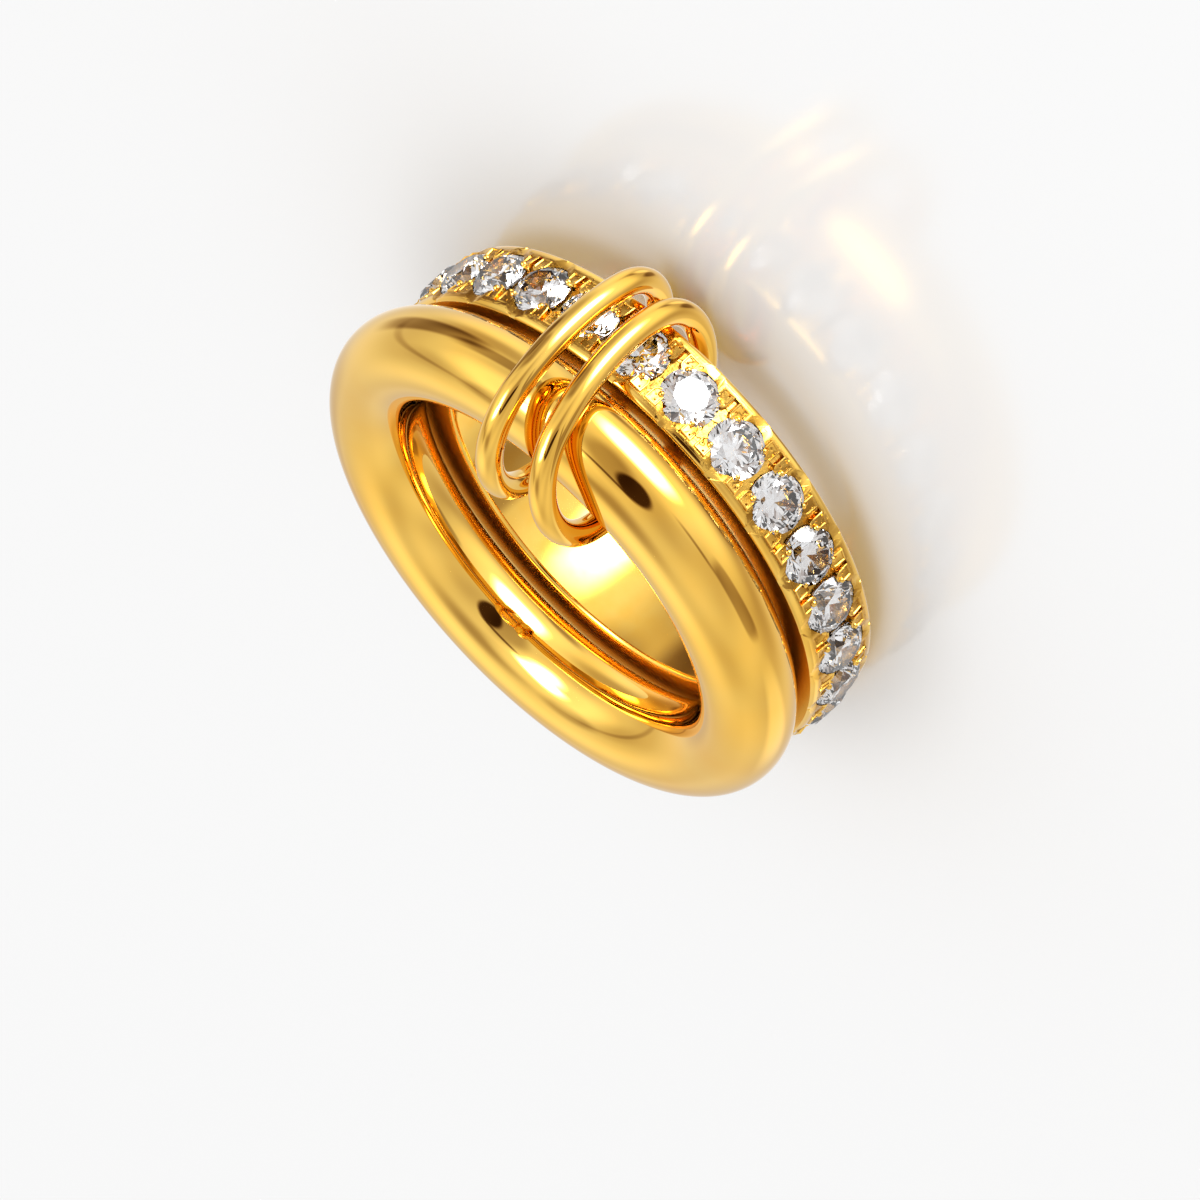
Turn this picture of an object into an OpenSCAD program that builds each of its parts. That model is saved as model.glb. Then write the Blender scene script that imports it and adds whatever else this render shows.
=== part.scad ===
// Chunky ring: a plain round tube band and a stone-set band, held together by two oval wire
// links. Millimetres. The ring lies on its side, tube band up. The links pass under the
// lower band, so the axis of the finger hole leans from +Z by rest_lean, towards +Y.
// The origin is on that axis, halfway through the stack of both bands.

/* [Finger hole] */
// Diameter of the hole through the tube band
hole_d = 17.3; // [16.5:0.4:18.9]

/* [Tube band] */
// Thickness of the round tube
tube_d = 4.1; // [3.6:0.1:4.2]

/* [Stone band] */
// Width along the finger
band_w = 3.7; // [3.5:0.1:3.7]
// Height of the wall, from the finger side to the top of the rails
band_h = 3.3; // [3.1:0.1:3.4]
// How much wider its hole is than the tube band's
band_ease = 0.3; // [0.2:0.1:0.3]
// Gap between the two bands
band_gap = 0.2; // [0.1:0.05:0.25]
// Width of the sloping shoulder outside each rail
shoulder_w = 0.36; // [0.26:0.02:0.4]
// How far the shoulder drops
shoulder_drop = 0.12; // [0.08:0.02:0.16]
// Width of the channel cut along the middle, between the two rails
channel_w = 1.2; // [0.8:0.1:1.3]
// Depth of that channel
channel_depth = 0.3; // [0.2:0.05:0.35]
// Width of the scoop cut through both rails at each stone, as deep as the shoulder drops
scoop_w = 1.3; // [1:0.1:1.4]
// Diameter of a setting bead
bead_d = 0.4; // [0.3:0.02:0.4]

/* [Stones] */
// Number of stones round the band
stone_count = 26; // [20:1:26]
// Diameter of a stone at its girdle
stone_d = 2.65; // [2.35:0.1:2.65]
// How far a stone's table stands above the rails
stone_proud = 0.27; // [0.21:0.02:0.31]

/* [Links] */
// Thickness of the link wire
wire_d = 1.18; // [1:0.02:1.2]
// Length of a link, between the middles of its wire
link_len = 11; // [11:0.1:11.6]
// Height of a link, between the middles of its wire
link_high = 7.4; // [7.4:0.1:8]
// Radius of a link's two ends, at the middle of the wire
link_end_r = 3.3; // [3.2:0.05:3.5]

/* [Hidden] */
// Each link: angle round the ring, distance out, height, then its turn about the tangent,
// its lean about the ring's axis and its yaw about the outward direction.
LINK_LEFT = [-82.8, 10.72, 0.26, 3.2, 3.6, 3.3];
LINK_RIGHT = [-97.4, 10.64, 0.2, 3.6, 27.6, 8.3];
ANGLE = 0;
OUT = 1;
HEIGHT = 2;
TURN = 3;
LEAN = 4;
YAW = 5;
FRONT = -90;
// How far the loose stone band lies off the tube band's axis, and its turn about its own
BAND_SHIFT = [-0.23, 0.08, 0];
BAND_TURN = 0.84;
// Stretch of a link's lower end, either side of its lowest point, that may touch the table
END_SWEEP = 50;
// How far cuts run past the surface
PAST = 2;
// Facets asked for on large and on small round shapes
LARGE = 96;
SMALL = 32;

tube_r = tube_d / 2;
tube_path_r = hole_d / 2 + tube_r;
stack_w = tube_d + band_gap + band_w;
tube_z = stack_w / 2 - tube_r;
band_z = band_w / 2 - stack_w / 2;
band_in_r = (hole_d + band_ease) / 2;
band_out_r = band_in_r + band_h;
inner_round = 0.4;
scoop_r = (scoop_w * scoop_w / 4 + shoulder_drop * shoulder_drop) / (2 * shoulder_drop);

stone_r = stone_d / 2;
pitch = 360 / stone_count;
girdle_sides = 16;
// A round cut's proportions, as parts of its diameter
table_part = 0.57;
crown_part = 0.15;
girdle_part = 0.03;
pavilion_part = 0.42;
table_r = table_part * stone_r;
crown_h = crown_part * stone_d;
girdle_h = girdle_part * stone_d;
pavilion_h = pavilion_part * stone_d;
girdle_out = band_out_r + stone_proud - crown_h;
seat_gap = 0.05;
seat_drop = 0.12;
seat_tip_r = 0.08;

bead_r = bead_d / 2;
bead_sink = 0.07;
bead_out = band_out_r - bead_sink;
bead_side = 1.04;
bead_apart = 0.26;

wire_r = wire_d / 2;
link_a = link_len / 2;
link_b = link_high / 2;
end_x = link_a - link_end_r;
side_r = (end_x * end_x + link_b * link_b - link_end_r * link_end_r) / (2 * (link_b - link_end_r));
side_y = side_r - link_b;
end_half = atan2(side_y, end_x);

function about_x(p, a) = [p.x, p.y * cos(a) - p.z * sin(a), p.y * sin(a) + p.z * cos(a)];
function about_y(p, a) = [p.x * cos(a) + p.z * sin(a), p.y, p.z * cos(a) - p.x * sin(a)];
function about_z(p, a) = [p.x * cos(a) - p.y * sin(a), p.x * sin(a) + p.y * cos(a), p.z];
// A point of a link, carried to its place on the ring
function on_ring(p, link) =
    about_z(about_x(about_z(about_y(p, link[TURN]), link[LEAN]), link[YAW])
        + [link[OUT], 0, link[HEIGHT]], link[ANGLE]);
// The middle of the wire along a link's lower end
function lower_end(link) = [for (t = [-END_SWEEP:2:END_SWEEP])
    on_ring([link_end_r * sin(t), 0, -end_x - link_end_r * cos(t)], link)];
// How far the ring tips back to rest on one point of wire and the far edge of the lower band
function tip(p) =
    let (dy = BAND_SHIFT.y + band_out_r - shoulder_drop - p.y, dz = -stack_w / 2 - p.z)
        atan2(dz, dy) + asin(wire_r / norm([dy, dz]));
rest_lean = max([for (link = [LINK_LEFT, LINK_RIGHT], p = lower_end(link)) tip(p)]);

function stone_name(i) = str("stone_", i < 10 ? "0" : "", i);

gold = "#e0a526";
pale_gold = "#f0c04a";

// Puts a piece that is drawn about the Z axis into the resting pose
module laid() {
    rotate([-rest_lean, 0, 0]) children();
}

// The same for a piece of the stone band, which lies a little off the axis
module laid_band() {
    laid() translate(BAND_SHIFT) rotate([0, 0, BAND_TURN]) children();
}

// Places children on the stone band, +Z outward, at the middle of its width
module on_band(angle, out, side = 0) {
    rotate([0, 0, angle]) translate([out, 0, band_z + side]) rotate([0, 90, 0]) children();
}

module tube_band() {
    color(pale_gold) laid() translate([0, 0, tube_z])
        rotate_extrude($fn = LARGE) translate([tube_path_r, 0]) circle(tube_r, $fn = SMALL);
}

// Half section of the plain band: rounded on the finger side, with a low shoulder at each rail
module band_section() {
    half = band_w / 2;
    for (side = [-1, 1])
        translate([band_in_r + inner_round, side * (half - inner_round)])
            circle(inner_round, $fn = SMALL);
    translate([band_in_r, inner_round - half])
        square([2 * inner_round, band_w - 2 * inner_round]);
    polygon([
        [band_in_r + inner_round, -half],
        [band_out_r - shoulder_drop, -half],
        [band_out_r, shoulder_w - half],
        [band_out_r, half - shoulder_w],
        [band_out_r - shoulder_drop, half],
        [band_in_r + inner_round, half]
    ]);
}

// Pocket for one stone: a cone under the girdle and a straight bore above it
module seat() {
    translate([0, 0, -girdle_h - pavilion_h - seat_drop])
        cylinder(h = pavilion_h + seat_drop / 2, r1 = seat_tip_r, r2 = stone_r + seat_gap, $fn = SMALL);
    translate([0, 0, -girdle_h - seat_drop / 2])
        cylinder(h = PAST, r = stone_r + seat_gap, $fn = SMALL);
}

// Shallow round scoop through both rails
module scoop(angle) {
    rotate([0, 0, angle]) translate([band_out_r - shoulder_drop + scoop_r, 0, band_z - band_w])
        cylinder(h = 2 * band_w, r = scoop_r, $fn = LARGE);
}

module channel() {
    rotate_extrude($fn = LARGE)
        translate([band_out_r - channel_depth, band_z - channel_w / 2]) square([PAST, channel_w]);
}

// Four beads on the metal between two stones
module bead_group(angle) {
    for (side = [-1, 1], along = [-1, 1])
        rotate([0, 0, angle]) translate([bead_out, along * bead_apart, band_z + side * bead_side])
            sphere(bead_r, $fn = SMALL);
}

module stone_band() {
    color(gold) laid_band() {
        difference() {
            translate([0, 0, band_z]) rotate_extrude($fn = LARGE) band_section();
            channel();
            for (i = [1:stone_count]) {
                on_band(stone_angle(i), girdle_out) seat();
                scoop(stone_angle(i));
            }
        }
        for (i = [1:stone_count]) bead_group(stone_angle(i) + pitch / 2);
    }
}

function stone_angle(i) = FRONT + (i - 1) * pitch;
function ring_points(count, r, z, shift = 0) =
    [for (k = [0:count - 1]) [r * cos((k + shift) * 360 / count), r * sin((k + shift) * 360 / count), z]];

// A round-cut stone: eight-sided table, 24 crown facets, girdle and 16 pavilion facets
module stone(i) {
    n = girdle_sides;
    half = n / 2;
    points = concat(
        ring_points(half, table_r, crown_h, 0.5),
        ring_points(n, stone_r, 0),
        ring_points(n, stone_r, -girdle_h),
        [[0, 0, -girdle_h - pavilion_h]]
    );
    top = half;
    low = half + n;
    tip_point = half + 2 * n;
    faces = concat(
        [[for (k = [half - 1:-1:0]) k]],
        [for (k = [0:half - 1]) each [
            [k, top + 2 * k + 1, top + 2 * k],
            [k, top + (2 * k + 2) % n, top + 2 * k + 1],
            [k, (k + 1) % half, top + (2 * k + 2) % n]
        ]],
        [for (j = [0:n - 1]) [top + j, top + (j + 1) % n, low + (j + 1) % n, low + j]],
        [for (j = [0:n - 1]) [low + j, low + (j + 1) % n, tip_point]]
    );
    color("whitesmoke") laid_band() on_band(stone_angle(i), girdle_out)
        polyhedron(points, faces, convexity = 4);
}

// Part of a round wire ring: middle at a point, between two angles
module wire_arc(middle, r, from, sweep) {
    translate(middle) rotate([0, 0, from])
        rotate_extrude(angle = sweep, $fn = LARGE) translate([r, 0]) circle(wire_r, $fn = SMALL);
}

// Four arcs make the oval: its long way is X, its short way Y
module oval_wire() {
    for (turn = [0, 180]) rotate([0, 0, turn]) {
        wire_arc([end_x, 0, 0], link_end_r, -end_half, 2 * end_half);
        wire_arc([0, -side_y, 0], side_r, end_half, 180 - 2 * end_half);
    }
}

module link(place) {
    color(pale_gold) laid() rotate([0, 0, place[ANGLE]]) translate([place[OUT], 0, place[HEIGHT]])
        rotate([place[YAW], 0, 0]) rotate([0, 0, place[LEAN]]) rotate([0, place[TURN], 0])
            rotate([90, 0, 0]) rotate([0, 0, 90]) oval_wire();
}

module link_left() {
    link(LINK_LEFT);
}

module link_right() {
    link(LINK_RIGHT);
}

tube_band();
stone_band();
link_left();
link_right();
for (i = [1:stone_count])
    stone(i);
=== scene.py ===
"""Looks of the chunky ring: a plain tube band and a stone-set band joined by two wire links.

Shapes are drawn in millimetres about the ring's own axis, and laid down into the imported
part's frame by one matrix. Angles are in degrees unless a name says otherwise.
"""

import math

import bmesh
import bpy
import numpy as np
from mathutils import Matrix, Vector


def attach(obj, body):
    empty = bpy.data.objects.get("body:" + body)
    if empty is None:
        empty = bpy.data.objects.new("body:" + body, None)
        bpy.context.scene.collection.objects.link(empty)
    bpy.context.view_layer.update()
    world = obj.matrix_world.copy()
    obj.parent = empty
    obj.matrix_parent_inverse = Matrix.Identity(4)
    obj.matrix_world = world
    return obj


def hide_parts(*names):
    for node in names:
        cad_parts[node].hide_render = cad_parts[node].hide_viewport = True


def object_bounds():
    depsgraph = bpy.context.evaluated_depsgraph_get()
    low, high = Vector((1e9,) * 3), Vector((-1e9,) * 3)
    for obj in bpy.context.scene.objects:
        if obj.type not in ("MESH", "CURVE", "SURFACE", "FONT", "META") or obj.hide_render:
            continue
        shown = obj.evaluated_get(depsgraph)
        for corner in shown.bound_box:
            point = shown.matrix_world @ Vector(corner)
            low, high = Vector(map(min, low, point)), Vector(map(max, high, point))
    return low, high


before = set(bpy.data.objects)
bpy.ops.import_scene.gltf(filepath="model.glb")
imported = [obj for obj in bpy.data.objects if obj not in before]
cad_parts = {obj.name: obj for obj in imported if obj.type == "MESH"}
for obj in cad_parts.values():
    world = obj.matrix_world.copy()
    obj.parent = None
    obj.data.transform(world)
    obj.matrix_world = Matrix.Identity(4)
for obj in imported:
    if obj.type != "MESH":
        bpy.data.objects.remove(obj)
cad_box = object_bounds()

MM = 0.001

# Sizes of the solids, as the part's source gives them or works them out
HOLE_R = 8.65
TUBE_R = 2.05
BAND_W = 3.7
BAND_IN_R = 8.8
BAND_OUT_R = 12.1
BAND_GAP = 0.2
SHOULDER_W = 0.36
SHOULDER_DROP = 0.12
SCOOP_HALF = 0.65
STONE_COUNT = 26
STONE_R = 1.325
STONE_PROUD = 0.27
WIRE_R = 0.59
LINK_A = 5.5
LINK_B = 3.7
LINK_END_R = 3.3
# Angle round the ring, distance out, height, turn, lean and yaw
LINK_LEFT = (-82.8, 10.72, 0.26, 3.2, 3.6, 3.3)
LINK_RIGHT = (-97.4, 10.64, 0.2, 3.6, 27.6, 8.3)
FRONT = -90
REST_LEAN = 4.74317
# The loose stone band lies a little off the tube band's axis
BAND_SHIFT = (-0.23, 0.08)
BAND_TURN = 0.84

# What follows from them
TUBE_PATH_R = HOLE_R + TUBE_R
TUBE_Z = (BAND_W + BAND_GAP) / 2
BAND_Z = -TUBE_R - BAND_GAP / 2
PITCH = 360 / STONE_COUNT
HALF_PITCH = math.radians(PITCH / 2)
CROWN_H = 0.3 * STONE_R
GIRDLE_H = 0.06 * STONE_R
PAVILION_H = 0.84 * STONE_R
GIRDLE_OUT = BAND_OUT_R + STONE_PROUD - CROWN_H

# Edges of the stone band that differ from the solid's: a smaller rounding on the finger side,
# and the worn curve of a shoulder, as (drop, distance in from the band's side)
INNER_ROUND = 0.22
SHOULDER = ((0.18, 0.0), (0.11, 0.05), (0.05, 0.13), (0.015, 0.24), (0.0, SHOULDER_W))


def turned(degrees, axis):
    return Matrix.Rotation(math.radians(degrees), 4, axis)


def moved(x=0.0, y=0.0, z=0.0):
    return Matrix.Translation((x, y, z))


LAY_DOWN = Matrix.Scale(MM, 4) @ turned(-REST_LEAN, "X")
ON_BAND = moved(*BAND_SHIFT, BAND_Z) @ turned(BAND_TURN, "Z")

# Where the Mix node keeps the sockets and the result of a colour mix
MIX_SHARE = 0
MIX_FIRST = 6
MIX_SECOND = 7
MIX_RESULT = 2


class Value:
    """A shader socket that takes part in Python arithmetic."""

    def __init__(self, recipe, socket):
        self.recipe, self.socket = recipe, socket

    def _math(self, operation, *values):
        return self.recipe.node("Math", {"operation": operation}, *values)

    def __add__(self, other):
        return self._math("ADD", self, other)

    def __sub__(self, other):
        return self._math("SUBTRACT", self, other)

    def __rsub__(self, other):
        return self._math("SUBTRACT", other, self)

    def __mul__(self, other):
        return self._math("MULTIPLY", self, other)

    __radd__ = __add__
    __rmul__ = __mul__


class Recipe:
    """The node tree of one finish."""

    def __init__(self, tree):
        self.tree = tree
        tree.nodes.clear()

    def put(self, socket, value):
        """Links a value to a socket, or sets the socket to numbers."""
        if isinstance(value, Value):
            self.tree.links.new(value.socket, socket)
        else:
            socket.default_value = value

    def node(self, kind, settings=None, *values, out=0, **named):
        """Adds a node: its type, its settings, then the values or links of its sockets."""
        made = self.tree.nodes.new("ShaderNode" + kind)
        for name, value in (settings or {}).items():
            setattr(made, name, value)
        for index, value in enumerate(values):
            self.put(made.inputs[index], value)
        for name, value in named.items():
            self.put(made.inputs[name.replace("_", " ")], value)
        return Value(self, made.outputs[out]) if made.outputs else None

    def noise(self, where, scale, detail=2.0, roughness=0.5):
        return self.node(
            "TexNoise", None, Vector=where, Scale=scale, Detail=detail, Roughness=roughness
        )

    def smooth(self, value, low, high):
        """Rises smoothly from 0 to 1 between low and high."""
        return self.node("MapRange", {"interpolation_type": "SMOOTHSTEP"}, value, low, high)

    def mix(self, share, first, second):
        """Blends two colours, each of them a value or three numbers."""
        made = self.node("Mix", {"data_type": "RGBA"}, out=MIX_RESULT)
        sockets = made.socket.node.inputs
        self.put(sockets[MIX_SHARE], share)
        for index, colour in ((MIX_FIRST, first), (MIX_SECOND, second)):
            self.put(sockets[index], colour if isinstance(colour, Value) else (*colour, 1))
        return made

    def finish(self, shader, kind="OutputMaterial"):
        self.node(kind, None, shader)


def new_material(name):
    material = bpy.data.materials.new(name)
    material.use_nodes = True
    return material, Recipe(material.node_tree)


# Finishes. The scale of a noise counts its waves along one metre.

GOLD_RICH = (0.9, 0.52, 0.085)
GOLD_PALE = (0.9, 0.565, 0.12)
# Darker gold put into the cuts of the setting as painted shade
GOLD_PAINTED_SHADE = (0.38, 0.17, 0.015)
# Faces between the two bands, where no polishing wheel reaches, are rougher; their paler gold is
# painted light, standing in for light caught between the bands
GOLD_PAINTED_GAP_LIGHT = (0.76, 0.52, 0.18)
GAP_ROUGHNESS = 0.38
# Roughness of the polished pieces, and what wear and hairlines add
POLISH = 0.03
WEAR_ROUGHNESS = 0.02
HAIR_ROUGHNESS = 0.03
# Roughness of the rails, and what the depth of a cut and its grain add
RAIL_POLISH = 0.06
CUT_ROUGHNESS = 0.2
GRAIN_ROUGHNESS = 0.04
# Radius that the edges of the setting seem rounded by, in metres
SETTING_EDGE = 0.00002
STONE_COLOUR = (0.985, 0.99, 1.0)
STONE_FILM = (0.96, 0.97, 0.99)
STONE_IOR = 2.17
SHEET_COLOURS = ((0.74, 0.74, 0.74), (0.76, 0.76, 0.76))
FAR_COLOUR = (0.5, 0.5, 0.5)
# Where the sheet starts to give way to the far grey and where it has, in metres from the ring
FAR_FROM = 0.1
FAR_TO = 0.5


def polished_gold():
    """Rolled and hand-polished gold: faint waves, hairlines and patches of wear."""
    material, r = new_material("polished_gold")
    where = r.node("TexCoord", out="Object")
    gap = r.node("Attribute", {"attribute_name": "gap_side"}, out="Fac")
    tone = r.smooth(r.noise(where, 140.0, 3.0), 0.35, 0.65)
    wear = r.smooth(r.noise(where, 420.0, 4.0, 0.6), 0.45, 0.75)
    hairs = r.noise(r.node("Mapping", None, where, Scale=(2600, 2600, 260)), 1.0, 3.0)
    hairlines = r.smooth(hairs, 0.62, 0.75)
    waves = r.noise(where, 160.0, 1.0)
    bump = r.node("Bump", None, Strength=0.03, Distance=0.00008, Height=waves + hairs * 0.01)
    marks = wear * WEAR_ROUGHNESS + hairlines * HAIR_ROUGHNESS
    # Painted light: the side facing the other band takes a paler gold; its added roughness is the
    # unpolished finish
    r.finish(
        r.node(
            "BsdfPrincipled",
            None,
            Base_Color=r.mix(gap, r.mix(tone, GOLD_RICH, GOLD_PALE), GOLD_PAINTED_GAP_LIGHT),
            Metallic=1.0,
            Roughness=POLISH + marks + gap * GAP_ROUGHNESS,
            Normal=bump,
        )
    )
    return material


def setting_gold():
    """Cut and punched gold round the stones: bright on the rails, duller in the cuts, which painted
    shade darkens.
    """
    material, r = new_material("setting_gold")
    where = r.node("TexCoord", out="Object")
    depth = r.node("Attribute", {"attribute_name": "cut_depth"}, out="Fac")
    gap = r.node("Attribute", {"attribute_name": "gap_side"}, out="Fac")
    tone = r.smooth(r.noise(where, 500.0, 3.0), 0.35, 0.65)
    grain = r.noise(where, 3200.0)
    dents = r.smooth(r.noise(where, 2600.0, 1.0), 0.6, 0.72)
    relief = grain * depth - dents * depth
    bump = r.node("Bump", None, Strength=0.7, Distance=0.00006, Height=relief)
    # Painted shade: the gold darkens with the depth of the cuts
    gold_here = r.mix(depth, r.mix(tone, GOLD_RICH, GOLD_PALE), GOLD_PAINTED_SHADE)
    cuts = depth * CUT_ROUGHNESS + grain * GRAIN_ROUGHNESS
    # Painted light: the side facing the tube band takes a paler gold; its added roughness is the
    # unpolished finish
    r.finish(
        r.node(
            "BsdfPrincipled",
            None,
            Base_Color=r.mix(gap, gold_here, GOLD_PAINTED_GAP_LIGHT),
            Metallic=1.0,
            Roughness=RAIL_POLISH + cuts + gap * GAP_ROUGHNESS,
            Normal=r.node("Bevel", {"samples": 4}, SETTING_EDGE, bump),
        )
    )
    return material


def clear_stone():
    """Cut clear stone, with the faintest film where it has been handled."""
    material, r = new_material("clear_stone")
    where = r.node("TexCoord", out="Object")
    film = r.smooth(r.noise(where, 900.0, 3.0), 0.5, 0.8)
    r.finish(
        r.node(
            "BsdfPrincipled",
            None,
            Base_Color=r.mix(film, STONE_COLOUR, STONE_FILM),
            Roughness=film * 0.02,
            IOR=STONE_IOR,
            Transmission_Weight=1.0,
        )
    )
    return material


def studio_floor():
    """White sheet under the ring, which gives way to the grey of the room further off."""
    material, r = new_material("studio_floor")
    where = r.node("TexCoord", out="Object")
    cloud = r.noise(where, 6.0)
    away = r.node("VectorMath", {"operation": "LENGTH"}, where, out="Value")
    sheet = r.mix(cloud, *SHEET_COLOURS)
    r.finish(
        r.node(
            "BsdfPrincipled",
            None,
            Base_Color=r.mix(r.smooth(away, FAR_FROM, FAR_TO), sheet, FAR_COLOUR),
            Roughness=0.12 + cloud * 0.03,
            IOR=1.45,
        )
    )
    return material


# Shapes


def cylinder_points(r, angle, z):
    return (r * math.cos(angle), r * math.sin(angle), z)


def circle(count):
    """Angles once round, in radians."""
    return [2 * math.pi * k / count for k in range(count)]


def ramp(values, start, end):
    """Rises from 0 to 1 between start and end."""
    return np.clip((values - start) / (end - start), 0, 1)


def grid_mesh(rows, close_rows=True, close_columns=True):
    """Points and faces of a sheet of quads, given as rows of points."""
    n, m = len(rows), len(rows[0])
    points = [p for row in rows for p in row]
    faces = [
        (i * m + j, i * m + (j + 1) % m, (i + 1) % n * m + (j + 1) % m, (i + 1) % n * m + j)
        for i in range(n if close_rows else n - 1)
        for j in range(m if close_columns else m - 1)
    ]
    return points, faces


def mesh_of(name, points, faces):
    mesh = bpy.data.meshes.new(name)
    mesh.from_pydata(points, [], faces)
    mesh.update()
    return mesh


def add_attribute(mesh, name, values):
    """Stores one number for each point, for a finish to read."""
    data = mesh.attributes.new(name, "FLOAT", "POINT").data
    data.foreach_set("value", values.astype(np.float32))


def place(name, mesh, material, body, node, matrix=None, smooth_below=None):
    """Puts a finished mesh on its body, in place of its solid."""
    mesh.transform(LAY_DOWN @ (matrix or Matrix.Identity(4)))
    mesh.materials.clear()
    mesh.materials.append(material)
    if smooth_below is not None:
        mesh.shade_smooth()
        if smooth_below < 180:
            mesh.set_sharp_from_angle(angle=math.radians(smooth_below))
    piece = bpy.data.objects.new(name, mesh)
    bpy.context.scene.collection.objects.link(piece)
    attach(piece, body)
    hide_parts(node)


# How far down the tube's section its side facing the stone band begins and is full, as parts of its
# radius; there it is rougher, with a paler gold that is painted light
TUBE_GAP_FROM = 0.6
TUBE_GAP_FULL = 0.9


def tube_band_mesh(around=320, across=96):
    rows = [
        [
            cylinder_points(TUBE_PATH_R + TUBE_R * math.cos(b), a, TUBE_Z + TUBE_R * math.sin(b))
            for b in circle(across)
        ]
        for a in circle(around)
    ]
    mesh = mesh_of("tube_band_metal", *grid_mesh(rows))
    down = (TUBE_Z - np.array([v.co.z for v in mesh.vertices])) / TUBE_R
    add_attribute(mesh, "gap_side", ramp(down, TUBE_GAP_FROM, TUBE_GAP_FULL))
    return mesh


def link_mesh(name, around=240, across=48):
    """Round wire bent to four arcs: its long way along Z, its short way along X."""
    end_x = LINK_A - LINK_END_R
    side_r = (end_x**2 + LINK_B**2 - LINK_END_R**2) / (2 * (LINK_B - LINK_END_R))
    side_y = side_r - LINK_B
    half = math.atan2(side_y, end_x)
    # Middle along the link and across it, radius, and the angles that it starts and ends at
    arcs = [
        (end_x, 0.0, LINK_END_R, -half, half),
        (0.0, -side_y, side_r, half, math.pi - half),
        (-end_x, 0.0, LINK_END_R, math.pi - half, math.pi + half),
        (0.0, side_y, side_r, math.pi + half, 2 * math.pi - half),
    ]
    lengths = [r * (to - start) for _, _, r, start, to in arcs]
    rows = []
    for (x, y, r, start, to), length in zip(arcs, lengths):
        steps = round(around * length / sum(lengths))
        for k in range(steps):
            a = start + (to - start) * k / steps
            rows.append(
                [
                    (
                        y + (r + WIRE_R * math.cos(b)) * math.sin(a),
                        WIRE_R * math.sin(b),
                        x + (r + WIRE_R * math.cos(b)) * math.cos(a),
                    )
                    for b in circle(across)
                ]
            )
    return mesh_of(name, *grid_mesh(rows))


def link_place(angle, out, height, turn, lean, yaw):
    return (
        turned(angle, "Z")
        @ moved(out, 0, height)
        @ turned(yaw, "X")
        @ turned(lean, "Z")
        @ turned(turn, "Y")
    )


# Stone-set band: one pitch of it is cut in a few varied ways, and these repeat round the ring.
# A floor or a top is given by its distance from the ring's axis, and a place across the band by
# its distance from the band's middle.

# Steps that one pitch is swept in
SWEEP_STEPS = 14
CHANNEL_FLOOR = 11.87
CHANNEL_HALF = 0.85
CHANNEL_SLOPE = 0.04
# How far the scoops and the seats are cut past the metal
PAST = 0.5
# Top of the shapes that cut the channel and the grooves
CUT_TOP = BAND_OUT_R + 0.3
GROOVE_HALF = 0.12
GROOVE_FLOOR = CHANNEL_FLOOR + 0.05
SCOOP_FLOOR = 11.98
SCOOP_FLAT_HALF = 0.14

# Chips: the height of the shape that cuts them, half its width at its foot and at its top, its
# length and tilt, how far in from the band's side it lies and how far below a scoop's floor
CHIP_HIGH = 1.0
CHIP_FOOT_HALF = 0.15
CHIP_TOP_HALF = 0.8
CHIP_LENGTH = 1.2
CHIP_TILT = 24
CHIP_IN = 0.12
CHIP_SINK = 0.01

# Pads: their tops, half their width along the band, where across it they start, end and have
# the point that they lean about, how deep they are rooted and how much their foot widens
PAD_TOP = 12.15
PAD_HALF = 0.32
PAD_INNER = 0.6
PAD_OUTER = 1.43
PAD_PIVOT = 1.0
PAD_ROOT = 0.1
PAD_FLARE = 0.02
# Rounding of a pad's top edge
PAD_EDGE = 0.03
# Depth of a pad's sunk face, and how far its cut lies in from the pad's outline, there and above
PAD_SINK = 0.05
FACE_INSET = 0.095
FACE_INSET_ABOVE = 0.045
FACE_ABOVE = 0.04
# How far the hand strays from pad to pad, in height and in two leans
PAD_LIFT = 0.02
PAD_TIP = 9
PAD_TWIST = 12

# Beads: their place from the pad's inner end and from its middle towards the stone, each with
# the range that it strays in, the radians that their dome spans, and the groove round them
BEAD_R = 0.15
BEAD_TOP = 12.24
BEAD_ROOT = 0.25
BEAD_ACROSS = 0.21
BEAD_ACROSS_RANGE = (-0.02, 0.05)
BEAD_TOWARD = 0.13
BEAD_TOWARD_RANGE = (-0.02, 0.04)
BEAD_DOME = (-0.3, 1.35)
BEAD_STEPS = 8
BEAD_SIDES = 20
RING_SINK = 0.03
RING_ABOVE = 0.3
RING_WIDENS = 0.05

# Pits in a pad's face, as (across, along), how far they stray, and their profile as
# (height, radius)
PITS = ((1.02, 0.1), (1.24, -0.12))
PIT_STRAY = 0.06
PIT_RISE = 0.02
PIT_PROFILE = ((-0.07, 0.0165), (-0.045, 0.044), (0.05, 0.066))
PIT_SIDES = 10

# Seats: the room for a stone under its girdle, and how far the metal keeps off its crown, as
# (distance from the stone's axis, height over its girdle)
SEAT_R = STONE_R + 0.03
SEAT_DROP = 0.12
SEAT_TIP_R = 0.08
CROWN_CLEARANCE = ((SEAT_R, 0.02), (1.0, 0.31), (0.85, 0.46))
SEAT_SIDES = 72

# How near its seam a point counts as on it, in radians, and how near two points become one
SEAM_NEAR = 1e-5
SEAM_WELD = 1e-4

# Depth in the cuts, which gives them painted shade, roughness and grain: where it begins, just over
# the pads, how much lower it is full, and the radius of the floors and seats below, which take half
# of it
CUT_DEPTH_TOP = PAD_TOP + 0.02
CUT_DEPTH_SPAN = 0.12
CUT_DEPTH_FLOORS = BAND_OUT_R - 0.1
# How far the depth in the cuts, with its painted shade, runs onto a shoulder, and keeps off the
# rounding on the finger side
CUT_DEPTH_ON_SHOULDER = 0.02
CUT_DEPTH_OFF_ROUND = 0.01
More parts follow.
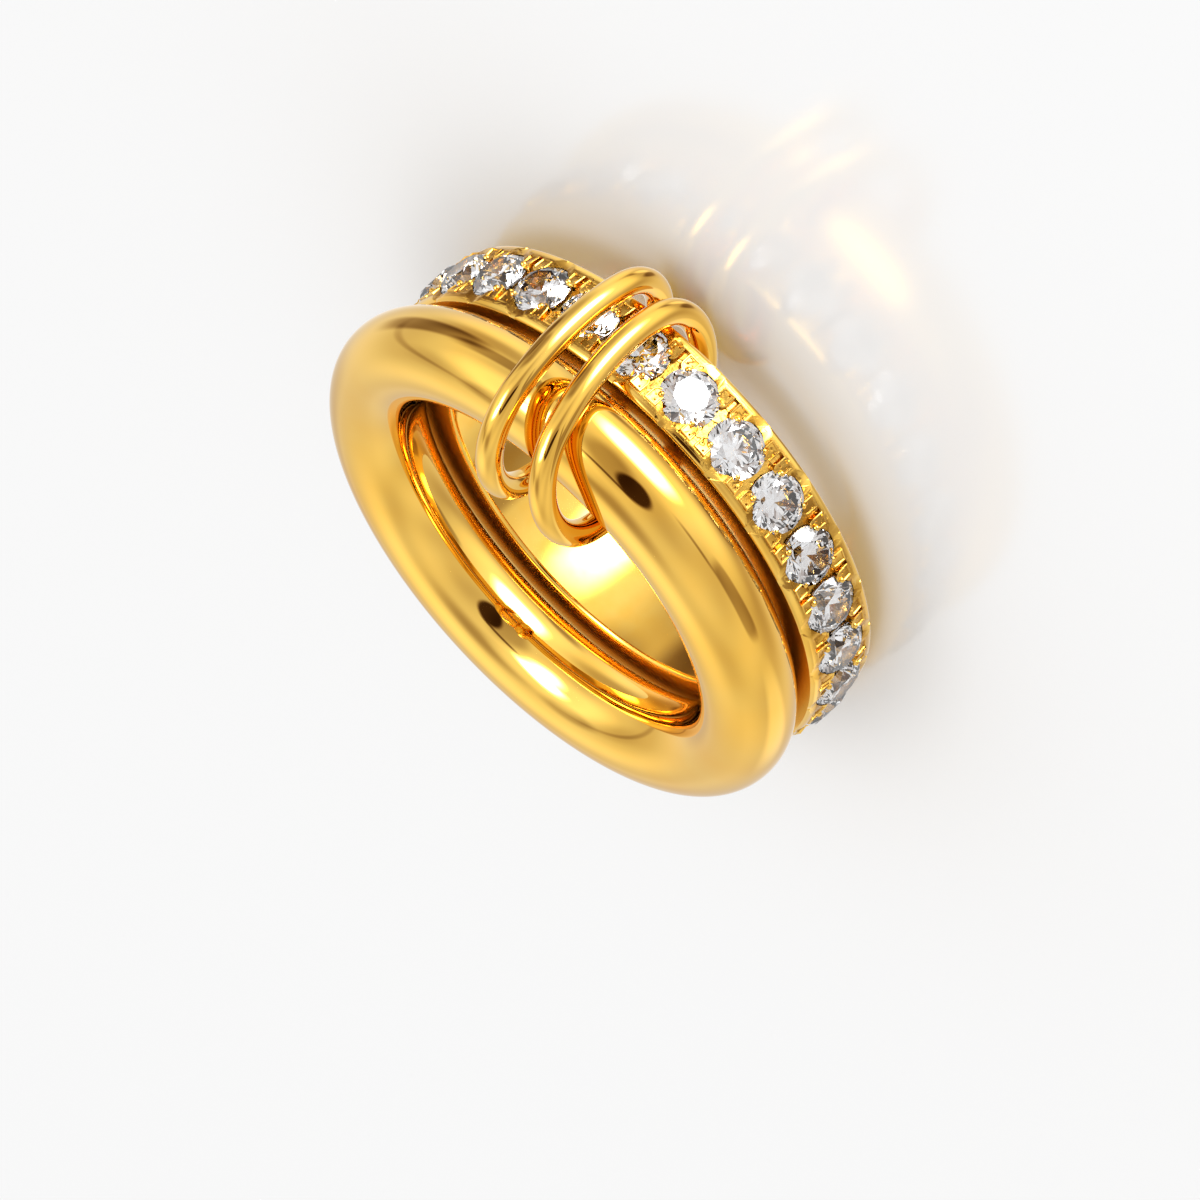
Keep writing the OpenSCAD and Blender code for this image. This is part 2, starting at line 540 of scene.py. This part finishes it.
# The side next to the tube band, rougher and with a paler gold that is painted light: where it
# begins on the finger side, and its soft edge
GAP_SIDE_INNER = BAND_IN_R + 0.1
GAP_SIDE_EDGE = 0.5
# How near the band's upper side a point counts as on it
SIDE_NEAR = 0.03


def solid(bm):
    """A scratch object for the cutting, with its faces turned outward."""
    bmesh.ops.recalc_face_normals(bm, faces=bm.faces)
    mesh = bpy.data.meshes.new("cut")
    bm.to_mesh(mesh)
    bm.free()
    made = bpy.data.objects.new("cut", mesh)
    bpy.context.scene.collection.objects.link(made)
    return made


def lofted_solid(rings, matrix=None):
    """Joins rings of points with the same count, closed at both ends."""
    bm = bmesh.new()
    rings = [[bm.verts.new(p) for p in ring] for ring in rings]
    n = len(rings[0])
    for low, high in zip(rings, rings[1:]):
        for k in range(n):
            bm.faces.new((low[k], low[(k + 1) % n], high[(k + 1) % n], high[k]))
    bm.faces.new(rings[0])
    bm.faces.new(rings[-1])
    if matrix:
        bm.transform(matrix)
    return solid(bm)


def turned_solid(profile, sides, matrix=None):
    """Turns (height, radius) points about the X axis."""
    return lofted_solid(
        [[(h, r * math.cos(a), r * math.sin(a)) for a in circle(sides)] for h, r in profile], matrix
    )


def swept_solid(outline, half_angle, steps):
    """Sweeps an (r, z) outline about the ring's axis."""
    return lofted_solid(
        [
            [cylinder_points(r, half_angle * (2 * k / steps - 1), z) for r, z in outline]
            for k in range(steps + 1)
        ]
    )


def combine(base, tool, operation="DIFFERENCE"):
    """Cuts the base with a tool, or joins it on, and clears the tool away."""
    step = base.modifiers.new("step", "BOOLEAN")
    step.operation, step.solver, step.object = operation, "EXACT", tool
    depsgraph = bpy.context.evaluated_depsgraph_get()
    result = bpy.data.meshes.new_from_object(base.evaluated_get(depsgraph))
    old, used = base.data, tool.data
    base.modifiers.clear()
    base.data = result
    bpy.data.objects.remove(tool)
    bpy.data.meshes.remove(used)
    bpy.data.meshes.remove(old)


def band_outline():
    """Section of the band: rounded on the finger side, with a low shoulder at each rail."""
    half = BAND_W / 2
    shoulder = [(BAND_OUT_R - drop, half - inward) for drop, inward in SHOULDER]
    corner = [
        (
            BAND_IN_R + INNER_ROUND * (1 - math.cos(a)),
            half - INNER_ROUND * (1 - math.sin(a)),
        )
        for a in np.linspace(0, math.pi / 2, 9)
    ]
    return [
        *corner,
        *shoulder,
        *[(r, -z) for r, z in reversed(shoulder)],
        *[(r, -z) for r, z in reversed(corner)],
    ]


def channel_cut():
    """Wide channel along the middle of the band, its walls sloping a little."""
    top_half = CHANNEL_HALF + CHANNEL_SLOPE
    outline = [
        (CHANNEL_FLOOR, -CHANNEL_HALF),
        (CHANNEL_FLOOR, CHANNEL_HALF),
        (CUT_TOP, top_half),
        (CUT_TOP, -top_half),
    ]
    return swept_solid(outline, HALF_PITCH * 1.5, SWEEP_STEPS * 3 // 2)


def groove_cut(end):
    """Straight groove across the band, halfway between two stones."""
    outline = [
        (-PAD_OUTER, -GROOVE_HALF),
        (-PAD_OUTER, GROOVE_HALF),
        (PAD_OUTER, GROOVE_HALF),
        (PAD_OUTER, -GROOVE_HALF),
    ]
    return lofted_solid(
        [[(h, s, z) for z, s in outline] for h in (GROOVE_FLOOR, CUT_TOP)],
        turned(end * PITCH / 2, "Z"),
    )


def scoop_cut():
    """Shallow cut through both rails, in three flats like the strokes of a graver."""
    outline = [
        (SCOOP_FLOOR, -SCOOP_FLAT_HALF),
        (SCOOP_FLOOR, SCOOP_FLAT_HALF),
        (BAND_OUT_R, SCOOP_HALF),
        (BAND_OUT_R + PAST, SCOOP_HALF + PAST),
        (BAND_OUT_R + PAST, -SCOOP_HALF - PAST),
        (BAND_OUT_R, -SCOOP_HALF),
    ]
    return lofted_solid([[(r, s, z) for r, s in outline] for z in (-BAND_W, BAND_W)])


def chip_cut(side):
    """Small bright chip that a graver leaves at the outer end of a scoop."""
    outline = [
        (0, -CHIP_FOOT_HALF),
        (0, CHIP_FOOT_HALF),
        (CHIP_HIGH, CHIP_TOP_HALF),
        (CHIP_HIGH, -CHIP_TOP_HALF),
    ]
    return lofted_solid(
        [[(x, y, z) for x, y in outline] for z in (-CHIP_LENGTH / 2, CHIP_LENGTH / 2)],
        moved(SCOOP_FLOOR - CHIP_SINK, 0, side * (BAND_W / 2 - CHIP_IN))
        @ turned(side * -CHIP_TILT, "Y"),
    )


def tongue(inset):
    """Outline of a pad as (across the band, along it), round at its inner end."""
    half = PAD_HALF - inset
    inner = PAD_INNER + inset
    round_end = [
        (inner + half * (1 - math.sin(a)), half * math.cos(a)) for a in np.linspace(0, math.pi, 11)
    ]
    return [(PAD_OUTER - inset, half), *round_end, (PAD_OUTER - inset, -half)]


def tongue_solid(levels, matrix):
    """A tongue's outline at each level, given as (height, inset)."""
    return lofted_solid([[(h, s, z) for z, s in tongue(inset)] for h, inset in levels], matrix)


def pad_place(side, end):
    """Where a pad stands: side -1 or 1 of the band's middle, end -1 or 1 of the stone."""
    half_gap = BAND_OUT_R * HALF_PITCH
    angle = end * math.degrees((half_gap - GROOVE_HALF - PAD_HALF) / BAND_OUT_R)
    return Matrix.Diagonal((1, 1, side, 1)) @ turned(angle, "Z")


def add_pad(base, side, end, draw):
    """A tongue of metal beside the stone, its face sunk inside a thin lip, with a bead and pits."""

    def stray(low, high):
        return float(draw.uniform(low, high))

    here = pad_place(side, end)
    lift = stray(-PAD_LIFT, PAD_LIFT)
    top = PAD_TOP + lift
    leaning = here @ (
        moved(BAND_OUT_R, 0, PAD_PIVOT)
        @ turned(stray(-PAD_TIP, PAD_TIP), "Y")
        @ turned(stray(-PAD_TWIST, PAD_TWIST), "Z")
        @ moved(-BAND_OUT_R, 0, -PAD_PIVOT)
    )
    body = [(CHANNEL_FLOOR - PAD_ROOT, -PAD_FLARE), (top - PAD_EDGE, 0.0), (top, PAD_EDGE)]
    combine(base, tongue_solid(body, leaning), "UNION")
    face = [(top - PAD_SINK, FACE_INSET), (top + FACE_ABOVE, FACE_INSET_ABOVE)]
    combine(base, tongue_solid(face, leaning))

    across = PAD_INNER + BEAD_ACROSS + stray(*BEAD_ACROSS_RANGE)
    toward = -end * (BEAD_TOWARD + stray(*BEAD_TOWARD_RANGE))
    spot = here @ moved(BEAD_TOP + lift - BEAD_R, toward, across)
    ring_floor = PAD_TOP - PAD_SINK - RING_SINK - BEAD_TOP + BEAD_R
    ring = [(ring_floor, BEAD_R), (RING_ABOVE, BEAD_R + RING_WIDENS)]
    combine(base, turned_solid(ring, BEAD_SIDES, spot))
    angles = np.linspace(*BEAD_DOME, BEAD_STEPS)
    dome = [(BEAD_R * math.sin(a), BEAD_R * math.cos(a)) for a in angles]
    combine(base, turned_solid([(-BEAD_ROOT, BEAD_R), *dome], BEAD_SIDES, spot), "UNION")

    for across, along in PITS:
        along += stray(-PIT_STRAY, PIT_STRAY)
        across += stray(-PIT_STRAY, PIT_STRAY)
        pit = here @ moved(top - PAD_SINK + PIT_RISE, along, across)
        combine(base, turned_solid(PIT_PROFILE, PIT_SIDES, pit))


def stone_clearance():
    """Room for the stone: a cone under its girdle, and a shell over its crown."""
    girdle_foot = GIRDLE_OUT - GIRDLE_H
    profile = [
        (girdle_foot - PAVILION_H - SEAT_DROP, SEAT_TIP_R),
        (girdle_foot - SEAT_DROP / 2, SEAT_R),
        *[(GIRDLE_OUT + h, r) for r, h in CROWN_CLEARANCE],
        (BAND_OUT_R + PAST, CROWN_CLEARANCE[-1][0]),
    ]
    return turned_solid(profile, SEAT_SIDES)


def cut_pitch(draw):
    """One pitch of the band as a closed solid, cut and built up as a setter would."""
    base = swept_solid(band_outline(), HALF_PITCH, SWEEP_STEPS)
    combine(base, channel_cut())
    for end in (-1, 1):
        combine(base, groove_cut(end))
    combine(base, scoop_cut())
    for side in (-1, 1):
        combine(base, chip_cut(side))
        for end in (-1, 1):
            add_pad(base, side, end, draw)
    combine(base, stone_clearance())
    return base


def pitch_mesh(draw):
    """One cut pitch, open at the two ends where the next ones follow."""
    cut = cut_pitch(draw)
    mesh = cut.data
    bpy.data.objects.remove(cut)
    bm = bmesh.new()
    bm.from_mesh(mesh)
    ends = [
        f
        for f in bm.faces
        if all(abs(abs(math.atan2(v.co.y, v.co.x)) - HALF_PITCH) < SEAM_NEAR for v in f.verts)
    ]
    bmesh.ops.delete(bm, geom=ends, context="FACES")
    bm.to_mesh(mesh)
    bm.free()
    return mesh


def mark_cuts(mesh):
    """Stores how deep each point of the band lies in the cuts, and what faces the tube band."""
    points = np.array([v.co for v in mesh.vertices])
    r = np.hypot(points[:, 0], points[:, 1])
    z = points[:, 2]
    half = BAND_W / 2
    # Depth in the cuts, which the setting's finish turns into painted shade, roughness and grain
    depth = ramp(CUT_DEPTH_TOP - r, 0, CUT_DEPTH_SPAN) * np.where(r > CUT_DEPTH_FLOORS, 1, 0.5)
    # The shoulders, the band's sides and its finger side have no cuts
    depth[np.abs(z) > half - SHOULDER_W + CUT_DEPTH_ON_SHOULDER] = 0
    depth[r < BAND_IN_R + INNER_ROUND + CUT_DEPTH_OFF_ROUND] = 0
    add_attribute(mesh, "cut_depth", depth)
    # The side facing the tube band: rougher, with a paler gold that is painted light
    inward = np.minimum(r - GAP_SIDE_INNER, BAND_OUT_R - SHOULDER_DROP - r)
    between_bands = np.where(z > half - SIDE_NEAR, ramp(inward, 0, GAP_SIDE_EDGE), 0)
    add_attribute(mesh, "gap_side", between_bands)


def stone_band_mesh(kinds=3):
    """Repeats the cut pitches round the ring in a mixed order, and welds the seams."""
    draw = np.random.default_rng(7)
    cuts = [pitch_mesh(draw) for _ in range(kinds)]
    whole = bmesh.new()
    for k in range(STONE_COUNT):
        start = len(whole.verts)
        whole.from_mesh(cuts[(k * k + k // 3) % kinds])
        whole.verts.ensure_lookup_table()
        bmesh.ops.transform(whole, matrix=turned(FRONT + k * PITCH, "Z"), verts=whole.verts[start:])
    bmesh.ops.remove_doubles(whole, verts=whole.verts, dist=SEAM_WELD)
    mesh = bpy.data.meshes.new("stone_band_metal")
    whole.to_mesh(mesh)
    whole.free()
    mark_cuts(mesh)
    mesh.transform(ON_BAND)
    return mesh


# Cut stones: the radii where the table and the star facets end, and how near the stone's axis
# the lower halves come

TABLE_R = 0.8
STAR_R = 1.03
LOWER_HALF_R = 0.22 * STONE_R
# Angle from one kite to the next
KITE_TURN = 45
# A point well inside the stone, which no cut takes away
STONE_INSIDE = Vector((0, 0, -0.2))
# How near a cut a point counts as on it, and how near two points become one
CUT_NEAR = 1e-6
FACET_WELD = 1e-5
# How much deeper than the stone the uncut cylinder is
ROUGH_SPARE = 0.1


def polar(r, degrees, z):
    return Vector(cylinder_points(r, math.radians(degrees), z))


def rough_stone(sides):
    """An uncut cylinder, a little deeper than the finished stone."""
    bm = bmesh.new()
    low, high = (
        [bm.verts.new(cylinder_points(STONE_R, a, z)) for a in circle(sides)]
        for z in (-GIRDLE_H - PAVILION_H - ROUGH_SPARE, CROWN_H)
    )
    for k in range(sides):
        bm.faces.new((low[k], low[(k + 1) % sides], high[(k + 1) % sides], high[k]))
    bm.faces.new(list(reversed(low)))
    bm.faces.new(high)
    return bm


def slice_off(bm, p, q, s):
    """Cuts along the plane of three points and drops the side away from the stone's inside."""
    normal = (q - p).cross(s - p).normalized()
    if normal.dot(p - STONE_INSIDE) < 0:
        normal.negate()
    found = bmesh.ops.bisect_plane(
        bm,
        geom=[*bm.verts, *bm.edges, *bm.faces],
        dist=CUT_NEAR,
        plane_co=p,
        plane_no=normal,
        clear_outer=True,
    )
    edges = [e for e in found["geom_cut"] if isinstance(e, bmesh.types.BMEdge)]
    if edges:
        bmesh.ops.edgeloop_fill(bm, edges=edges)


def brilliant_mesh(sides=64):
    """A round brilliant: table, 8 kites, 8 stars, 16 upper and 16 lower halves, 8 mains."""
    bm = rough_stone(sides)
    narrow = math.cos(math.radians(KITE_TURN / 2))
    low = -GIRDLE_H
    tip = polar(0, 0, low - PAVILION_H)
    star_z = CROWN_H * (STONE_R - STAR_R * narrow) / (STONE_R - TABLE_R)
    half_z = low - PAVILION_H * (1 - LOWER_HALF_R * narrow / STONE_R)
    for k in range(360 // KITE_TURN):
        a = k * KITE_TURN
        next_a = a + KITE_TURN
        # Kite, star and main
        table_corner = polar(TABLE_R, a, CROWN_H)
        slice_off(bm, table_corner, polar(STONE_R, a, 0), table_corner + polar(1, a + 90, 0))
        star_tip = polar(STAR_R, (a + next_a) / 2, star_z)
        slice_off(bm, table_corner, polar(TABLE_R, next_a, CROWN_H), star_tip)
        main = polar(STONE_R, a, low)
        slice_off(bm, tip, main, tip + polar(1, a + 90, 0))
        for side in (-1, 1):
            # Upper and lower half
            middle = a + side * KITE_TURN / 2
            crown_edge = polar(STONE_R, a, 0)
            slice_off(bm, polar(STAR_R, middle, star_z), crown_edge, polar(STONE_R, middle, 0))
            slice_off(bm, polar(LOWER_HALF_R, middle, half_z), main, polar(STONE_R, middle, low))
    bmesh.ops.remove_doubles(bm, verts=bm.verts, dist=FACET_WELD)
    bmesh.ops.recalc_face_normals(bm, faces=bm.faces)
    mesh = bpy.data.meshes.new("brilliant")
    bm.to_mesh(mesh)
    bm.free()
    return mesh


def stone_place(k, spin):
    """The k-th stone's place: its table outward, turned a little in its seat."""
    return (
        ON_BAND
        @ turned(FRONT + k * PITCH, "Z")
        @ moved(GIRDLE_OUT, 0, 0)
        @ turned(90, "Y")
        @ turned(spin, "Z")
    )


# The ring's pieces

# Angle between two faces, below which the setting's edge between them is shaded smooth
SETTING_SMOOTH = 28

gold = polished_gold()
cut_gold = setting_gold()
clear = clear_stone()

place("tube_band_metal", tube_band_mesh(), gold, "tube_ring", "tube_band", smooth_below=180)
place(
    "stone_band_metal",
    stone_band_mesh(),
    cut_gold,
    "stone_ring",
    "stone_band",
    smooth_below=SETTING_SMOOTH,
)
for side, row in (("left", LINK_LEFT), ("right", LINK_RIGHT)):
    name = "link_" + side
    place(
        name + "_wire",
        link_mesh(name),
        gold,
        side + "_link",
        name,
        link_place(*row),
        smooth_below=180,
    )

brilliant = brilliant_mesh()
spins = np.random.default_rng(26)
for k in range(STONE_COUNT):
    name = f"stone_{k + 1:02d}"
    place(
        name + "_cut",
        brilliant.copy(),
        clear,
        "stone_ring",
        name,
        stone_place(k, float(spins.uniform(0, 45))),
    )
bpy.data.meshes.remove(brilliant)

# Studio. Lengths are in metres from here on.

FLOOR_Z = cad_box[0].z
FLOOR_HALF = 3
FLOOR_POINTS = 13
DOME_R = 2.5
DOME_AROUND = 400
DOME_UP = 201
FILL_POWER = 5.3
FILL_SIZE = 1.2
FILL_HEIGHT = 1.0

# Place of the camera, and degrees of its direction and roll
CAMERA_PLACE = (-0.26921, -0.72682, 0.386635)
CAMERA_AZIMUTH = 69.8705
CAMERA_ELEVATION = -26.3834
CAMERA_ROLL = -130.87
CAMERA_LENS = 616.11

# Parts of the surroundings brighter or darker than the rest, in degrees: azimuth, elevation,
# half width, half height, blur as a share of these, how square (2 is an oval), change of brightness
ROOM_LEVEL = 0.9
ROOM_DARKEST = 0.02
ROOM_UNEVEN = 0.14
ROOM_PATCHES = (
    (-42, 45, 27, 24, 0.45, 3, 0.6),
    (-103, -40, 40, 34, 0.6, 2.2, 0.6),
    (70, 48, 24, 20, 0.8, 2, 0.4),
    (132, -15, 24, 12, 0.4, 3, 0.35),
    (0, -50, 18, 12, 0.8, 2, 0.4),
    (5, -78, 12, 7, 0.6, 2, 0.7),
    (0, 90, 14, 14, 0.8, 2, -0.3),
    (-50, 76, 9, 7, 0.8, 2, 0.3),
    (0, -90, 20, 20, 0.6, 2, -0.35),
    (125, -80, 13, 8, 0.4, 2, -0.4),
    (7, 58, 14, 9, 0.4, 2, -0.35),
    (8, 40, 11, 16, 0.7, 2, -0.2),
    (-97, 28, 13, 28, 0.4, 2, -0.4),
    (-137, 22, 14, 20, 0.7, 2, -0.1),
    (-2, -14, 26, 10, 0.3, 3, -0.5),
    (-46, -5, 28, 9, 0.3, 3, -0.5),
    (-30, -28, 26, 11, 0.7, 2, -0.3),
    (-50, -67, 7, 10, 0.6, 2, -0.5),
    (-168, -14, 17, 12, 0.2, 4, -0.45),
    (-176, -42, 18, 26, 0.7, 2, -0.25),
    (-141, -3, 11, 2.5, 0.6, 3, -0.5),
    (14, 22, 2.2, 28, 0.8, 3, -0.25),
    (70, -8, 20, 14, 0.5, 3, -0.2),
)
# The same, for the glowing cloths of the lights
SOFTBOXES = (
    (-54, 53, 14, 9, 0.4, 3, 12),
    (-60, 40, 11, 13, 0.5, 2, 10),
    (-101, -31, 18, 18, 0.35, 3, 12),
)
# The same, for the camera and its arm, with how much they darken
CAMERA_SHADES = ((-112, 30, 8.5, 20, 0.18, 2, 0.93), (-98, 50, 11, 2.5, 0.4, 3, 0.75))
# How strongly the dim parts of the room lose red, green and blue, which makes them warmer
DIM_LOSS = (0, 0.25, 0.4)


def direction(azimuth, elevation):
    a, e = math.radians(azimuth), math.radians(elevation)
    return Vector((math.cos(a) * math.cos(e), math.sin(a) * math.cos(e), math.sin(e)))


def white_floor():
    """Sheet that the ring lies on, left out of the metal's reflections."""
    line = np.linspace(-FLOOR_HALF, FLOOR_HALF, FLOOR_POINTS)
    rows = [[(x, y, FLOOR_Z) for x in line] for y in line]
    mesh = mesh_of("studio_floor", *grid_mesh(rows, close_rows=False, close_columns=False))
    mesh.materials.append(studio_floor())
    floor = bpy.data.objects.new("studio_floor", mesh)
    bpy.context.scene.collection.objects.link(floor)
    floor.visible_glossy = False


def patch(points, azimuth, elevation, wide, high, blur, corner):
    """1 inside a soft-edged part of the surroundings; the points lie on the unit sphere."""
    ahead, side, up = (
        points @ np.array(direction(*angles))
        for angles in ((azimuth, elevation), (azimuth + 90, 0), (azimuth, elevation + 90))
    )
    across = np.abs(np.degrees(np.arctan2(side, ahead))) / wide
    along = np.abs(np.degrees(np.arcsin(np.clip(up, -1, 1)))) / high
    size = (across**corner + along**corner) ** (1 / corner)
    share = 1 - ramp(size, 1 - blur, 1 + blur)
    return share * share * (3 - 2 * share)


def room_levels(points):
    """Brightness of the surroundings: a pale room, two softboxes and the shade of the camera."""
    x, y, z = points.T
    # The room is never quite even
    level = ROOM_LEVEL * (1 + ROOM_UNEVEN * np.sin(5 * x + 2 * z) * np.sin(6 * y - 3 * z + 1))
    for *spot, change in ROOM_PATCHES:
        level += patch(points, *spot) * change
    for *spot, glow in SOFTBOXES:
        level += patch(points, *spot) ** 2 * glow
    for *spot, dark in CAMERA_SHADES:
        level *= 1 - patch(points, *spot) * dark
    return np.maximum(level, ROOM_DARKEST)


def dome_mesh():
    """A dome whose points hold the brightness and tint of the surroundings."""
    rows = [
        [
            direction(azimuth, elevation) * DOME_R
            for azimuth in np.linspace(-180, 180, DOME_AROUND, endpoint=False)
        ]
        for elevation in np.linspace(-90, 90, DOME_UP)
    ]
    mesh = mesh_of("reflected_room", *grid_mesh(rows, close_rows=False))
    points = np.array([v.co for v in mesh.vertices]) / DOME_R
    levels = room_levels(points)
    colours = np.ones((len(points), 4), np.float32)
    for channel, loss in enumerate(DIM_LOSS):
        colours[:, channel] = levels * np.minimum(levels / ROOM_LEVEL, 1) ** loss
    mesh.attributes.new("glow", "FLOAT_COLOR", "POINT").data.foreach_set("color", colours.ravel())
    return mesh


def reflected_room():
    """A glowing dome round the scene, seen in the metal and the stones alone."""
    mesh = dome_mesh()
    material, r = new_material("reflected_room")
    glow = r.node("Attribute", {"attribute_name": "glow"})
    # Light that the metal throws on the floor stays soft
    dimmed = r.node("VectorMath", {"operation": "MINIMUM"}, glow, (1, 1, 1))
    thrown = r.node("LightPath", out="Diffuse Depth")
    r.finish(r.node("Emission", None, r.mix(thrown, glow, dimmed), 1.0))
    material.cycles.emission_sampling = "NONE"
    mesh.materials.append(material)
    dome = bpy.data.objects.new("reflected_room", mesh)
    dome.visible_camera = dome.visible_diffuse = dome.visible_shadow = False
    bpy.context.scene.collection.objects.link(dome)


def room_light():
    """Even light from all sides for the floor, left out of what the metal and stones show."""
    world = bpy.data.worlds.new("room_light")
    bpy.context.scene.world = world
    world.use_nodes = True
    r = Recipe(world.node_tree)
    r.finish(r.node("Background", None, (1, 1, 1, 1), ROOM_LEVEL), "OutputWorld")
    world.cycles_visibility.glossy = world.cycles_visibility.transmission = False


def fill_light():
    """Wide overhead light for the floor, kept out of the metal's reflections."""
    lamp = bpy.data.lights.new("fill_light", "AREA")
    lamp.size = FILL_SIZE
    lamp.energy = FILL_POWER
    fill = bpy.data.objects.new("fill_light", lamp)
    fill.location = (0, 0, FILL_HEIGHT)
    fill.visible_camera = fill.visible_glossy = fill.visible_transmission = False
    bpy.context.scene.collection.objects.link(fill)


white_floor()
room_light()
reflected_room()
fill_light()
bpy.context.scene.view_settings.view_transform = "Standard"

camera = bpy.data.objects.new("camera", bpy.data.cameras.new("camera"))
bpy.context.scene.collection.objects.link(camera)
camera.matrix_world = (
    moved(*CAMERA_PLACE)
    @ turned(CAMERA_AZIMUTH - 90, "Z")
    @ turned(CAMERA_ELEVATION + 90, "X")
    @ turned(CAMERA_ROLL, "Z")
)
camera.data.lens = CAMERA_LENS
camera.data.clip_start = 0.05
camera.data.clip_end = 20.0
bpy.context.scene.camera = camera
